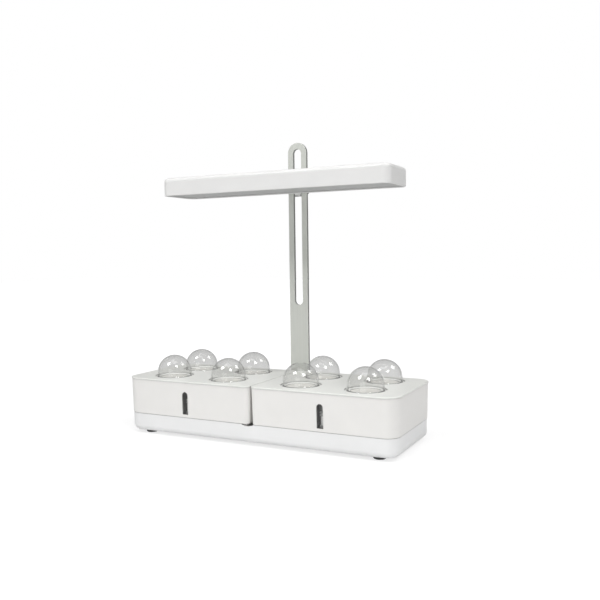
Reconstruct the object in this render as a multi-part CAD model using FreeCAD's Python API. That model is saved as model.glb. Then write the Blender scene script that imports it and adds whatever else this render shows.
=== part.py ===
import FreeCAD, Part
import math
import os

from FreeCAD import Vector

# Countertop hydroponic garden, in millimetres.
# +X runs along the garden, -Y is its front, +Z is up.
# The origin is on the resting surface, under the centre of the bounding box.

# Overall plan of the two lidded tanks
GARDEN_LENGTH = 400.0
GARDEN_DEPTH = 142.0
OUTER_CORNER_RADIUS = 20.0
INNER_CORNER_RADIUS = 8.0
LID_GAP = 1.2

# Rubber feet
FOOT_RADIUS = 8.0
FOOT_HEIGHT = 5.0
FOOT_SEAT_DEPTH = 1.0
FOOT_EDGE_BEVEL = 1.0
FOOT_FROM_END = 29.0
FOOT_FROM_FRONT = 20.0
FOOT_SEAT_CLEARANCE = 0.2

# Base tray
TRAY_HEIGHT = 24.6
TRAY_INSET = 2.4
TRAY_WALL = 2.6
TRAY_FLOOR = 2.6
TRAY_BOTTOM_ROUND = 8.0
TRAY_RIM_ROUND = 0.6
RIB_THICKNESS = 1.8
RIB_HEIGHT = 5.0
LONG_RIB_SPACING = 70.0
CROSS_RIB_SPACING = 64.0
LOCATING_RIB_HEIGHT = 12.0
LOCATING_RIB_LENGTH = 96.0
NOTCH_WIDTH = 18.0
NOTCH_DEPTH = 2.6
NOTCH_CENTRE_X = -4.0

# Socket that holds the post at the back of the tray
SOCKET_WALL = 3.2
SOCKET_HEIGHT = 48.0
SOCKET_FLARE = 16.0
SOCKET_ROUND = 2.5
SOCKET_CLEARANCE = 0.15
SOCKET_SCREW_LOW = 14.0
SOCKET_SCREW_SPACING = 22.0

# Light post
POST_STANDOFF = 4.5
POST_WIDTH = 29.3
POST_THICKNESS = 5.0
POST_TOP = 407.0
POST_EDGE_CHAMFER = 0.5
SLOT_WIDTH = 12.6
SLOT_BOTTOM = 174.0
SLOT_TOP_MARGIN = 9.0

# Water tanks
LID_TOP = 78.5
LID_THICKNESS = 2.0
LID_OVERHANG = 0.6
LID_EDGE_ROUND = 0.8
LID_SKIRT_DEPTH = 5.0
LID_SKIRT_WALL = 1.6
LID_SKIRT_CLEARANCE = 0.4
TANK_WALL = 2.4
TANK_DRAFT = 1.2
TANK_SEAM_GAP = 0.3
TANK_EDGE_ROUND = 0.8
PLINTH_CLEARANCE = 0.5
PLINTH_BOTTOM_ROUND = 4.0

# Water level window and float
WINDOW_WIDTH = 9.0
WINDOW_BOTTOM = 33.1
WINDOW_TOP = 63.8
WINDOW_CORNER_RADIUS = 0.8
LENS_SETBACK = 0.5
LENS_CLEARANCE = 0.1
LENS_FLANGE_MARGIN = 1.6
LENS_FLANGE_THICKNESS = 1.4
GASKET_THICKNESS = 0.8
GUIDE_WALL = 1.4
GUIDE_SIDE_CLEARANCE = 0.5
GUIDE_SEAT_CLEARANCE = 0.1
ROD_RADIUS = 1.3
FLOAT_BORE_CLEARANCE = 0.3
FLOAT_COLLAR_RADIUS = 3.6
FLOAT_STEM_RADIUS = 2.3
FLOAT_HEIGHT = 19.3
FLOAT_COLLAR_THICKNESS = 1.1
FLOAT_COLLAR_SPACING = 3.4
FLOAT_FOOT_HEIGHT = 2.6
FLOAT_CLEARANCE = 0.4
FLOAT_REST_GAP = 0.3

# Pods: basket, sponge and dome
POD_PITCH = 90.0
POD_ROW_PITCH = 67.5
POD_ROW_SHIFT = 3.3
RECESS_RADIUS = 27.0
RECESS_DEPTH = 3.0
RECESS_FLOOR = 1.6
RECESS_WALL = 2.2
BASKET_SEAT_CLEARANCE = 0.4
BASKET_FLANGE_THICKNESS = 1.4
BASKET_TOP_RADIUS = 20.9
BASKET_BOTTOM_RADIUS = 15.5
BASKET_DEPTH = 42.0
BASKET_WALL = 1.3
BASKET_SLOTS = 6
BASKET_SLOT_WIDTH = 5.0
BASKET_SLOT_TOP = 13.0
BASKET_FLOOR_DISC_RADIUS = 9.0
HOLE_CLEARANCE = 0.5
SPONGE_HEIGHT = 30.0
SPONGE_CLEARANCE = 0.3
SPONGE_DIMPLE_RADIUS = 3.0
SPONGE_DIMPLE_DEPTH = 4.0
DOME_RADIUS = 23.5
DOME_WALL = 1.2
DOME_CENTRE_ABOVE_LID = 5.2
DOME_RIM_WIDTH = 0.5
DOME_RIM_HEIGHT = 1.2
DOME_RING_CLEARANCE = 0.3
DOME_RING_WIDTH = 1.0
DOME_RING_HEIGHT = 1.2

# Grow lamp
LAMP_LENGTH = 344.0
LAMP_DEPTH = 74.0
LAMP_HEIGHT = 25.5
LAMP_DROP = 74.0
LAMP_TO_POST = 17.5
LAMP_CORNER_RADIUS = 11.0
LAMP_TOP_ROUND = 5.5
LAMP_LIP_ROUND = 0.9
LAMP_WALL = 2.2
LAMP_LEDGE = 1.6
DIFFUSER_SETBACK = 2.0
DIFFUSER_THICKNESS = 1.6
DIFFUSER_CLEARANCE = 0.2
PLATE_CLEARANCE = 0.4
PLATE_ABOVE_DIFFUSER = 3.4
PLATE_THICKNESS = 1.2
BOARD_LENGTH = 300.0
BOARD_WIDTH = 12.0
BOARD_THICKNESS = 1.2
BOARD_ROWS = 3
BOARD_ROW_PITCH = 20.0
CHIP_SIZE = 2.8
CHIP_HEIGHT = 0.6
CHIPS_PER_BOARD = 14
PLATE_SCREW_PITCH = 140.0
PLATE_SCREW_RADIUS = 1.5
PLATE_SCREW_LENGTH = 9.0
PLATE_BOSS_RADIUS = 3.5

# Timer button, timer board and power inlet
BUTTON_X = 112.0
BUTTON_RADIUS = 5.7
BUTTON_HOLE_CLEARANCE = 0.3
BUTTON_PROUD = 0.8
BUTTON_FLANGE_RADIUS = 7.2
BUTTON_FLANGE_THICKNESS = 1.0
BUTTON_ROOF_GAP = 0.4
BUTTON_TRAVEL = 0.7
PLUNGER_RADIUS = 1.45
PLUNGER_CLEARANCE = 0.08
PLUNGER_LENGTH = 1.7
SWITCH_SIZE = 6.0
SWITCH_HEIGHT = 3.5
TIMER_LENGTH = 40.0
TIMER_DEPTH = 30.0
TIMER_THICKNESS = 1.6
TIMER_PEG_RADIUS = 2.2
TIMER_PEG_INSET = 4.0
INLET_X = 70.0
INLET_RISE = 1.0
INLET_BARREL_RADIUS = 4.5
INLET_FLANGE_RADIUS = 5.8
INLET_FLANGE_THICKNESS = 0.8
INLET_BODY_SIZE = 9.0
INLET_BODY_DEPTH = 9.0
INLET_BORE_RADIUS = 3.0
INLET_BORE_DEPTH = 9.0
INLET_PIN_RADIUS = 1.0
INLET_PIN_SETBACK = 0.8
INLET_HOLE_CLEARANCE = 0.1

# Bracket, slider and clamp
BRACKET_HALF_HEIGHT = 9.7
BRACKET_ROOT_THICKNESS = 2.0
BRACKET_FLARE_RADIUS = 8.0
BRACKET_EDGE_CHAMFER = 0.8
BRACKET_POST_GAP = 0.15
BRACKET_SCREW_SPACING = 21.0
SLIDER_SIDE_CLEARANCE = 0.25
SLIDER_HALF_HEIGHT = 14.0
SLIDER_BACK_GAP = 0.2
BOLT_RADIUS = 3.0
BOLT_HEAD_ACROSS_FLATS = 10.0
BOLT_HEAD_HEIGHT = 4.0
BOLT_POCKET_CLEARANCE = 0.2
BOLT_BORE_CLEARANCE = 0.1
CLAMP_PLATE_WIDTH = 27.0
CLAMP_PLATE_HEIGHT = 30.0
CLAMP_PLATE_THICKNESS = 1.6
CLAMP_PLATE_CORNER = 3.0
KNOB_GAP = 0.2
KNOB_LENGTH = 14.7
KNOB_RADIUS = 13.0
KNOB_HUB_RADIUS = 8.0
KNOB_HUB_LENGTH = 3.0
KNOB_EDGE_ROUND = 1.5
KNOB_LOBES = 6
KNOB_SCALLOP_RADIUS = 5.0
KNOB_SCALLOP_CENTRE = 15.6
INSERT_RADIUS = 4.6
INSERT_LENGTH = 8.0
THREAD_CLEARANCE = 0.05
BOLT_END_GAP = 1.0
BOLT_ENGAGEMENT = 10.5

# Machine screws for the post and the bracket
SCREW_RADIUS = 2.0
SCREW_HEAD_RADIUS = 3.6
SCREW_HEAD_HEIGHT = 2.2
SCREW_SOCKET_RADIUS = 1.3
SCREW_SOCKET_DEPTH = 1.2
SCREW_HOLE_CLEARANCE = 0.2
COUNTERBORE_DEPTH = 1.4
COUNTERBORE_CLEARANCE = 0.4
POST_SCREW_GRIP = 4.2
BRACKET_SCREW_GRIP = 6.0

# Heights that follow from the values above
TRAY_BOTTOM = FOOT_HEIGHT - FOOT_SEAT_DEPTH
TRAY_RIM = TRAY_BOTTOM + TRAY_HEIGHT
PAN_FLOOR = TRAY_BOTTOM + TRAY_FLOOR
TANK_REST = PAN_FLOOR + RIB_HEIGHT
TANK_LEDGE = TRAY_RIM + TANK_SEAM_GAP
TANK_RIM = LID_TOP - LID_THICKNESS
PLINTH_INSET = TRAY_INSET + TRAY_WALL + PLINTH_CLEARANCE
POD_SEAT = LID_TOP - RECESS_DEPTH
FLANGE_TOP = POD_SEAT + BASKET_FLANGE_THICKNESS
SLOT_TOP = POST_TOP - SLOT_TOP_MARGIN
LAMP_BOTTOM = POST_TOP - LAMP_DROP
DIFFUSER_BOTTOM = LAMP_BOTTOM + DIFFUSER_SETBACK
DIFFUSER_TOP = DIFFUSER_BOTTOM + DIFFUSER_THICKNESS
PLATE_BOTTOM = DIFFUSER_TOP + PLATE_ABOVE_DIFFUSER
PLATE_TOP = PLATE_BOTTOM + PLATE_THICKNESS
LAMP_TOP = LAMP_BOTTOM + LAMP_HEIGHT
LAMP_ROOF = LAMP_TOP - LAMP_WALL
CLAMP_Z = LAMP_BOTTOM + LAMP_HEIGHT / 2
INLET_Z = CLAMP_Z + INLET_RISE

# Places along Y that follow from the values above
KNOB_FRONT_FROM_POST = POST_THICKNESS + CLAMP_PLATE_THICKNESS + KNOB_GAP
REAR_REACH = GARDEN_DEPTH / 2 + POST_STANDOFF + KNOB_FRONT_FROM_POST + KNOB_LENGTH
GARDEN_Y = (GARDEN_DEPTH / 2 - REAR_REACH) / 2
GARDEN_FRONT = GARDEN_Y - GARDEN_DEPTH / 2
GARDEN_REAR = GARDEN_Y + GARDEN_DEPTH / 2
POST_FRONT = GARDEN_REAR + POST_STANDOFF
POST_REAR = POST_FRONT + POST_THICKNESS
KNOB_FRONT = POST_FRONT + KNOB_FRONT_FROM_POST
LAMP_REAR = POST_FRONT - LAMP_TO_POST
LAMP_FRONT = LAMP_REAR - LAMP_DEPTH
LAMP_Y = (LAMP_FRONT + LAMP_REAR) / 2

# Level gauge places
TANK_CENTRE_X = (GARDEN_LENGTH / 2 + LID_GAP / 2) / 2
TANK_INNER_FRONT = GARDEN_FRONT + LID_OVERHANG + TANK_DRAFT + TANK_WALL
GAUGE_FRONT = TANK_INNER_FRONT + GASKET_THICKNESS + LENS_FLANGE_THICKNESS
ROD_Y = GAUGE_FRONT + FLOAT_CLEARANCE + FLOAT_COLLAR_RADIUS
GUIDE_BACK = ROD_Y + FLOAT_COLLAR_RADIUS + FLOAT_CLEARANCE
GUIDE_HALF_WIDTH = WINDOW_WIDTH / 2 + LENS_FLANGE_MARGIN + GUIDE_SIDE_CLEARANCE
GUIDE_BOTTOM = TANK_LEDGE + TANK_WALL
GUIDE_TOP = TANK_RIM - LID_SKIRT_DEPTH - GUIDE_SIDE_CLEARANCE
FLOAT_BOTTOM = GUIDE_BOTTOM + GUIDE_WALL + FLOAT_REST_GAP

CUT_MARGIN = 1.0
SIDES = {"left": -1, "right": 1}


# Plans are (x0, x1, y0, y1, (front-left, front-right, rear-right, rear-left radii))
def garden_plan():
    half = GARDEN_LENGTH / 2
    return (-half, half, GARDEN_FRONT, GARDEN_REAR, (OUTER_CORNER_RADIUS,) * 4)


def tank_plan(side):
    near = LID_GAP / 2
    far = GARDEN_LENGTH / 2
    small = INNER_CORNER_RADIUS
    large = OUTER_CORNER_RADIUS
    if side > 0:
        return (near, far, GARDEN_FRONT, GARDEN_REAR, (small, large, large, small))
    return (-far, -near, GARDEN_FRONT, GARDEN_REAR, (large, small, small, large))


def lamp_plan():
    half = LAMP_LENGTH / 2
    return (-half, half, LAMP_FRONT, LAMP_REAR, (LAMP_CORNER_RADIUS,) * 4)


def inset_plan(plan, inset):
    x0, x1, y0, y1, radii = plan
    smaller = tuple(max(radius - inset, 0.4) for radius in radii)
    return (x0 + inset, x1 - inset, y0 + inset, y1 - inset, smaller)


def corner_arc(cx, cy, radius, start_degrees, z):
    points = []
    for degrees in (start_degrees, start_degrees + 45, start_degrees + 90):
        angle = math.radians(degrees)
        points.append(Vector(cx + radius * math.cos(angle), cy + radius * math.sin(angle), z))
    return Part.Arc(*points).toShape(), points[0], points[2]


def plan_wire(plan, z):
    x0, x1, y0, y1, (front_left, front_right, rear_right, rear_left) = plan
    corners = [
        (x0 + front_left, y0 + front_left, front_left, 180),
        (x1 - front_right, y0 + front_right, front_right, 270),
        (x1 - rear_right, y1 - rear_right, rear_right, 0),
        (x0 + rear_left, y1 - rear_left, rear_left, 90),
    ]
    arcs = [corner_arc(cx, cy, radius, start, z) for cx, cy, radius, start in corners]
    edges = []
    for index, (arc, _, end) in enumerate(arcs):
        next_start = arcs[(index + 1) % len(arcs)][1]
        edges += [arc, Part.makeLine(end, next_start)]
    return Part.Wire(edges)


def prism(plan, z0, z1):
    return Part.Face(plan_wire(plan, z0)).extrude(Vector(0, 0, z1 - z0))


def block(x0, x1, y0, y1, z0, z1):
    return Part.makeBox(x1 - x0, y1 - y0, z1 - z0, Vector(x0, y0, z0))


def upright(radius, x, y, z0, z1):
    return Part.makeCylinder(radius, z1 - z0, Vector(x, y, z0), Vector(0, 0, 1))


def along_y(radius, x, z, y0, y1):
    return Part.makeCylinder(radius, y1 - y0, Vector(x, y0, z), Vector(0, 1, 0))


def turned(profile):
    """Solid of revolution about Z from a closed list of (radius, z) points."""
    points = [Vector(radius, 0, z) for radius, z in profile]
    face = Part.Face(Part.makePolygon(points + points[:1]))
    return face.revolve(Vector(0, 0, 0), Vector(0, 0, 1), 360)


def moved(shape, x, y, z=0.0):
    copy = shape.copy()
    copy.translate(Vector(x, y, z))
    return copy


def edges_at_height(shape, z):
    found = []
    for edge in shape.Edges:
        box = edge.BoundBox
        if abs(box.ZMin - z) < 1e-4 and abs(box.ZMax - z) < 1e-4:
            found.append(edge)
    return found


def round_at_height(shape, radius, z):
    return shape.makeFillet(radius, edges_at_height(shape, z))


def fuse_all(shapes):
    return shapes[0].multiFuse(shapes[1:]).removeSplitter()


# Base tray
def foot_places():
    x = GARDEN_LENGTH / 2 - FOOT_FROM_END
    y = GARDEN_DEPTH / 2 - FOOT_FROM_FRONT
    return [(sx * x, GARDEN_Y + sy * y) for sx in (-1, 1) for sy in (-1, 1)]


def tray_ribs(pocket):
    x0, x1, y0, y1, _ = inset_plan(garden_plan(), TRAY_INSET)
    half = RIB_THICKNESS / 2
    ribs = []
    for y in (GARDEN_Y - LONG_RIB_SPACING / 2, GARDEN_Y + LONG_RIB_SPACING / 2):
        ribs.append(block(x0, x1, y - half, y + half, TRAY_BOTTOM, TANK_REST))
    for side in SIDES.values():
        for step in (-1, 0, 1):
            x = side * TANK_CENTRE_X + step * CROSS_RIB_SPACING
            ribs.append(block(x - half, x + half, y0, y1, TRAY_BOTTOM, TANK_REST))
    lattice = fuse_all(ribs).common(pocket)
    inner_face = LID_GAP / 2 + PLINTH_INSET - PLINTH_CLEARANCE
    top = PAN_FLOOR + LOCATING_RIB_HEIGHT
    reach = LOCATING_RIB_LENGTH / 2
    locating = []
    for side in SIDES.values():
        edges = sorted((side * inner_face, side * (inner_face - RIB_THICKNESS)))
        locating.append(block(*edges, GARDEN_Y - reach, GARDEN_Y + reach, TRAY_BOTTOM, top))
    return [lattice] + locating


def post_socket():
    half = POST_WIDTH / 2 + SOCKET_CLEARANCE + SOCKET_WALL
    front = POST_FRONT - SOCKET_CLEARANCE - SOCKET_WALL
    rear = POST_REAR + SOCKET_CLEARANCE + SOCKET_WALL
    root = GARDEN_REAR - TRAY_INSET - TRAY_WALL / 2
    column = block(-half, half, front, rear, TRAY_BOTTOM, TRAY_BOTTOM + SOCKET_HEIGHT)
    rear_edges = [
        edge
        for edge in column.Edges
        if edge.BoundBox.ZLength > SOCKET_HEIGHT / 2
    ]
    column = column.makeFillet(SOCKET_ROUND, rear_edges)
    flare = [
        (-half - SOCKET_FLARE, root),
        (-half, rear - SOCKET_ROUND),
        (half, rear - SOCKET_ROUND),
        (half + SOCKET_FLARE, root),
    ]
    corners = [Vector(x, y, TRAY_BOTTOM) for x, y in flare]
    wings = Part.Face(Part.makePolygon(corners + corners[:1]))
    wings = wings.extrude(Vector(0, 0, TRAY_HEIGHT))
    return [column, wings]


def post_screw_heights():
    low = TRAY_BOTTOM + SOCKET_SCREW_LOW
    return [low, low + SOCKET_SCREW_SPACING]


def socket_cuts():
    rear = POST_REAR + SOCKET_CLEARANCE + SOCKET_WALL
    cuts = [
        block(
            -POST_WIDTH / 2 - SOCKET_CLEARANCE,
            POST_WIDTH / 2 + SOCKET_CLEARANCE,
            POST_FRONT - SOCKET_CLEARANCE,
            POST_REAR + SOCKET_CLEARANCE,
            PAN_FLOOR,
            TRAY_BOTTOM + SOCKET_HEIGHT + CUT_MARGIN,
        )
    ]
    for z in post_screw_heights():
        cuts.append(along_y(SCREW_RADIUS + SCREW_HOLE_CLEARANCE, 0, z, POST_REAR, rear + CUT_MARGIN))
        head = SCREW_HEAD_RADIUS + COUNTERBORE_CLEARANCE
        cuts.append(along_y(head, 0, z, rear - COUNTERBORE_DEPTH, rear + CUT_MARGIN))
    return cuts


def rim_notch():
    """Shallow finger notch in the front rim, where the two tanks meet."""
    radius = (NOTCH_WIDTH**2 / 4 + NOTCH_DEPTH**2) / (2 * NOTCH_DEPTH)
    outer = GARDEN_FRONT + TRAY_INSET
    return along_y(
        radius,
        NOTCH_CENTRE_X,
        TRAY_RIM - NOTCH_DEPTH + radius,
        outer - CUT_MARGIN,
        outer + TRAY_WALL + PLINTH_CLEARANCE,
    )


def base_tray():
    outer = inset_plan(garden_plan(), TRAY_INSET)
    body = prism(outer, TRAY_BOTTOM, TRAY_RIM)
    body = round_at_height(body, TRAY_BOTTOM_ROUND, TRAY_BOTTOM)
    body = fuse_all([body] + post_socket())
    pocket = prism(inset_plan(outer, TRAY_WALL), PAN_FLOOR, TRAY_RIM + CUT_MARGIN)
    pocket = round_at_height(pocket, TRAY_BOTTOM_ROUND - TRAY_WALL, PAN_FLOOR)
    cuts = [pocket, rim_notch()] + socket_cuts()
    for x, y in foot_places():
        seat = FOOT_RADIUS + FOOT_SEAT_CLEARANCE
        cuts.append(upright(seat, x, y, TRAY_BOTTOM - CUT_MARGIN, TRAY_BOTTOM + FOOT_SEAT_DEPTH))
    return fuse_all([body.cut(cuts)] + tray_ribs(pocket))


def rubber_feet():
    tread = FOOT_RADIUS - FOOT_EDGE_BEVEL
    profile = [
        (0, 0),
        (tread, 0),
        (FOOT_RADIUS, FOOT_EDGE_BEVEL),
        (FOOT_RADIUS, FOOT_HEIGHT),
        (0, FOOT_HEIGHT),
    ]
    foot = turned(profile)
    return Part.makeCompound([moved(foot, x, y) for x, y in foot_places()])


# Light post
def stadium_prism(half_width, z0, z1, y0, y1):
    """Upright slot shape with round ends, swept along Y and centred on X = 0."""
    low = z0 + half_width
    high = z1 - half_width
    top = Part.Arc(Vector(half_width, y0, high), Vector(0, y0, z1), Vector(-half_width, y0, high))
    bottom = Part.Arc(Vector(-half_width, y0, low), Vector(0, y0, z0), Vector(half_width, y0, low))
    wire = Part.Wire([
        top.toShape(),
        Part.makeLine(Vector(-half_width, y0, high), Vector(-half_width, y0, low)),
        bottom.toShape(),
        Part.makeLine(Vector(half_width, y0, low), Vector(half_width, y0, high)),
    ])
    return Part.Face(wire).extrude(Vector(0, y1 - y0, 0))


def light_post():
    half = POST_WIDTH / 2
    shoulder = POST_TOP - half
    plate = block(-half, half, POST_FRONT, POST_REAR, PAN_FLOOR, shoulder)
    plate = fuse_all([plate, along_y(half, 0, shoulder, POST_FRONT, POST_REAR)])
    slot = stadium_prism(
        SLOT_WIDTH / 2,
        SLOT_BOTTOM,
        SLOT_TOP,
        POST_FRONT - CUT_MARGIN,
        POST_REAR + CUT_MARGIN,
    )
    plate = plate.cut(slot)
    face_edges = [
        edge
        for edge in plate.Edges
        if edge.BoundBox.YLength < 1e-4 and edge.BoundBox.ZMax > PAN_FLOOR + CUT_MARGIN
    ]
    plate = plate.makeChamfer(POST_EDGE_CHAMFER, face_edges)
    taps = [
        along_y(SCREW_RADIUS + THREAD_CLEARANCE, 0, z, POST_FRONT - CUT_MARGIN, POST_REAR + CUT_MARGIN)
        for z in post_screw_heights()
    ]
    return plate.cut(taps)


def machine_screw(grip):
    """Pan-head screw with a round socket: shank below Z = 0, head above it."""
    shoulder = SCREW_HEAD_HEIGHT / 2
    crown = SCREW_HEAD_RADIUS - shoulder
    socket = SCREW_HEAD_HEIGHT - SCREW_SOCKET_DEPTH
    profile = [
        (0, -grip),
        (SCREW_RADIUS, -grip),
        (SCREW_RADIUS, 0),
        (SCREW_HEAD_RADIUS, 0),
        (SCREW_HEAD_RADIUS, shoulder),
        (crown, SCREW_HEAD_HEIGHT),
        (SCREW_SOCKET_RADIUS, SCREW_HEAD_HEIGHT),
        (SCREW_SOCKET_RADIUS, socket),
        (0, socket),
    ]
    return turned(profile)


def screw_facing(direction, x, y, z, grip):
    """Screw whose head faces +Y or -Y, with the underside of its head at y."""
    screw = machine_screw(grip)
    screw.rotate(Vector(0, 0, 0), Vector(1, 0, 0), -90 * direction)
    return moved(screw, x, y, z)


def post_screws():
    seat = POST_REAR + SOCKET_CLEARANCE + SOCKET_WALL - COUNTERBORE_DEPTH
    grip = seat - POST_REAR + POST_SCREW_GRIP
    return Part.makeCompound([screw_facing(1, 0, seat, z, grip) for z in post_screw_heights()])


# Water tanks
def tank_slice(side, z, inset):
    depth = (TANK_RIM - z) / (TANK_RIM - TANK_LEDGE)
    return inset_plan(tank_plan(side), LID_OVERHANG + TANK_DRAFT * depth + inset)


def tank_block(side, inset, z0, z1):
    low = plan_wire(tank_slice(side, z0, inset), z0)
    high = plan_wire(tank_slice(side, z1, inset), z1)
    return Part.makeLoft([low, high], True, True)


def window_prism(side, margin, y0, y1):
    """Round-topped, flat-bottomed window shape swept along Y, grown by a margin."""
    half = WINDOW_WIDTH / 2 + margin
    centre = side * TANK_CENTRE_X
    low = WINDOW_BOTTOM - margin
    spring = WINDOW_TOP - WINDOW_WIDTH / 2
    corner = WINDOW_CORNER_RADIUS
    post = block(centre - half, centre + half, y0, y1, low, spring)
    foot_edges = [
        edge
        for edge in post.Edges
        if edge.BoundBox.YLength > (y1 - y0) / 2 and edge.BoundBox.ZMax < low + corner
    ]
    post = post.makeFillet(corner, foot_edges)
    return fuse_all([post, along_y(half, centre, spring, y0, y1)])


def tank_shell(side):
    upper = tank_block(side, 0, TANK_LEDGE, TANK_RIM)
    upper = round_at_height(upper, TANK_EDGE_ROUND, TANK_LEDGE)
    plinth_plan = inset_plan(tank_plan(side), PLINTH_INSET)
    plinth = prism(plinth_plan, TANK_REST, TANK_LEDGE + TANK_WALL)
    plinth = round_at_height(plinth, PLINTH_BOTTOM_ROUND, TANK_REST)
    hollow = tank_block(side, TANK_WALL, TANK_LEDGE + TANK_WALL, TANK_RIM + CUT_MARGIN)
    sump_plan = inset_plan(plinth_plan, TANK_WALL)
    sump = prism(sump_plan, TANK_REST + TANK_WALL, TANK_LEDGE + TANK_WALL + CUT_MARGIN)
    sump = round_at_height(sump, PLINTH_BOTTOM_ROUND - TANK_WALL, TANK_REST + TANK_WALL)
    opening = window_prism(side, 0, GARDEN_FRONT, GAUGE_FRONT)
    return fuse_all([upper, plinth]).cut([hollow, sump, opening])


def tank_layer(side, outer_inset, inner_inset):
    """Layer of the tank's wall between two depths, parallel to the drafted wall."""
    outer = tank_block(side, outer_inset, GUIDE_BOTTOM, TANK_RIM)
    inner = tank_block(side, inner_inset, GUIDE_BOTTOM - CUT_MARGIN, TANK_RIM + CUT_MARGIN)
    return outer.cut(inner)


def level_window(side):
    back = TANK_WALL + GASKET_THICKNESS + LENS_FLANGE_THICKNESS
    pane = window_prism(side, -LENS_CLEARANCE, GARDEN_FRONT, ROD_Y)
    pane = pane.common(tank_layer(side, LENS_SETBACK, back))
    flange = window_prism(side, LENS_FLANGE_MARGIN, GARDEN_FRONT, ROD_Y)
    flange = flange.common(tank_layer(side, TANK_WALL + GASKET_THICKNESS, back))
    return fuse_all([pane, flange])


def window_gasket(side):
    ring = window_prism(side, LENS_FLANGE_MARGIN, GARDEN_FRONT, ROD_Y)
    ring = ring.cut(window_prism(side, 0, GARDEN_FRONT, ROD_Y + CUT_MARGIN))
    return ring.common(tank_layer(side, TANK_WALL, TANK_WALL + GASKET_THICKNESS))


# Level gauge
def float_guide(side):
    """Channel behind the window, open to it, with a floor and a top bar for the rod."""
    centre = side * TANK_CENTRE_X
    half = GUIDE_HALF_WIDTH + GUIDE_WALL
    body = block(
        centre - half,
        centre + half,
        GARDEN_FRONT,
        GUIDE_BACK + GUIDE_WALL,
        GUIDE_BOTTOM,
        GUIDE_TOP,
    )
    channel = block(
        centre - GUIDE_HALF_WIDTH,
        centre + GUIDE_HALF_WIDTH,
        GARDEN_FRONT - CUT_MARGIN,
        GUIDE_BACK,
        GUIDE_BOTTOM + GUIDE_WALL,
        GUIDE_TOP - GUIDE_WALL,
    )
    mouth = block(
        centre - GUIDE_HALF_WIDTH,
        centre + GUIDE_HALF_WIDTH,
        GARDEN_FRONT - CUT_MARGIN,
        GAUGE_FRONT + GUIDE_SEAT_CLEARANCE,
        GUIDE_BOTTOM - CUT_MARGIN,
        GUIDE_TOP + CUT_MARGIN,
    )
    bore = upright(ROD_RADIUS, centre, ROD_Y, GUIDE_BOTTOM - CUT_MARGIN, GUIDE_TOP + CUT_MARGIN)
    seat = tank_block(side, TANK_WALL + GUIDE_SEAT_CLEARANCE, GUIDE_BOTTOM, GUIDE_TOP)
    return body.cut([channel, mouth, bore]).common(seat)


def float_rod(side):
    return upright(ROD_RADIUS, side * TANK_CENTRE_X, ROD_Y, GUIDE_BOTTOM, GUIDE_TOP)


def level_float(side):
    """Spool with two thin collars near its top and a foot collar."""
    bore = ROD_RADIUS + FLOAT_BORE_CLEARANCE
    stem = FLOAT_STEM_RADIUS
    collar = FLOAT_COLLAR_RADIUS
    top = FLOAT_HEIGHT
    gap_top = top - FLOAT_COLLAR_THICKNESS
    gap_bottom = top - FLOAT_COLLAR_SPACING
    second_bottom = gap_bottom - FLOAT_COLLAR_THICKNESS
    profile = [
        (bore, 0),
        (collar, 0),
        (collar, FLOAT_FOOT_HEIGHT),
        (stem, FLOAT_FOOT_HEIGHT),
        (stem, second_bottom),
        (collar, second_bottom),
        (collar, gap_bottom),
        (stem, gap_bottom),
        (stem, gap_top),
        (collar, gap_top),
        (collar, top),
        (bore, top),
    ]
    return moved(turned(profile), side * TANK_CENTRE_X, ROD_Y, FLOAT_BOTTOM)


# Lids and pods
def pod_places(side):
    """Centres of one tank's pods: outer and inner columns, front row first."""
    rows = [GARDEN_Y + POD_ROW_SHIFT + step * POD_ROW_PITCH / 2 for step in (-1, 1)]
    columns = [side * TANK_CENTRE_X + step * POD_PITCH / 2 for step in (-1, 1)]
    return [(x, y) for y in rows for x in columns]


def tank_lid(side):
    plan = tank_plan(side)
    plate = prism(plan, TANK_RIM, LID_TOP)
    plate = round_at_height(plate, LID_EDGE_ROUND, LID_TOP)
    skirt_inset = LID_OVERHANG + TANK_WALL + LID_SKIRT_CLEARANCE
    skirt = prism(inset_plan(plan, skirt_inset), TANK_RIM - LID_SKIRT_DEPTH, TANK_RIM)
    inside = prism(
        inset_plan(plan, skirt_inset + LID_SKIRT_WALL),
        TANK_RIM - LID_SKIRT_DEPTH - CUT_MARGIN,
        TANK_RIM,
    )
    collars = []
    cuts = []
    for x, y in pod_places(side):
        floor = POD_SEAT - RECESS_FLOOR
        collars.append(upright(RECESS_RADIUS + RECESS_WALL, x, y, floor, LID_TOP - LID_EDGE_ROUND))
        cuts.append(upright(RECESS_RADIUS, x, y, POD_SEAT, LID_TOP + CUT_MARGIN))
        cuts.append(upright(BASKET_TOP_RADIUS + HOLE_CLEARANCE, x, y, floor - CUT_MARGIN, LID_TOP))
    return fuse_all([plate, skirt.cut(inside)] + collars).cut(cuts)


def basket_inner_radius(depth):
    """Inner radius of the cup's wall at a depth below the flange's underside."""
    taper = (BASKET_TOP_RADIUS - BASKET_BOTTOM_RADIUS) / BASKET_DEPTH
    return BASKET_TOP_RADIUS - BASKET_WALL - taper * depth


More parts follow.
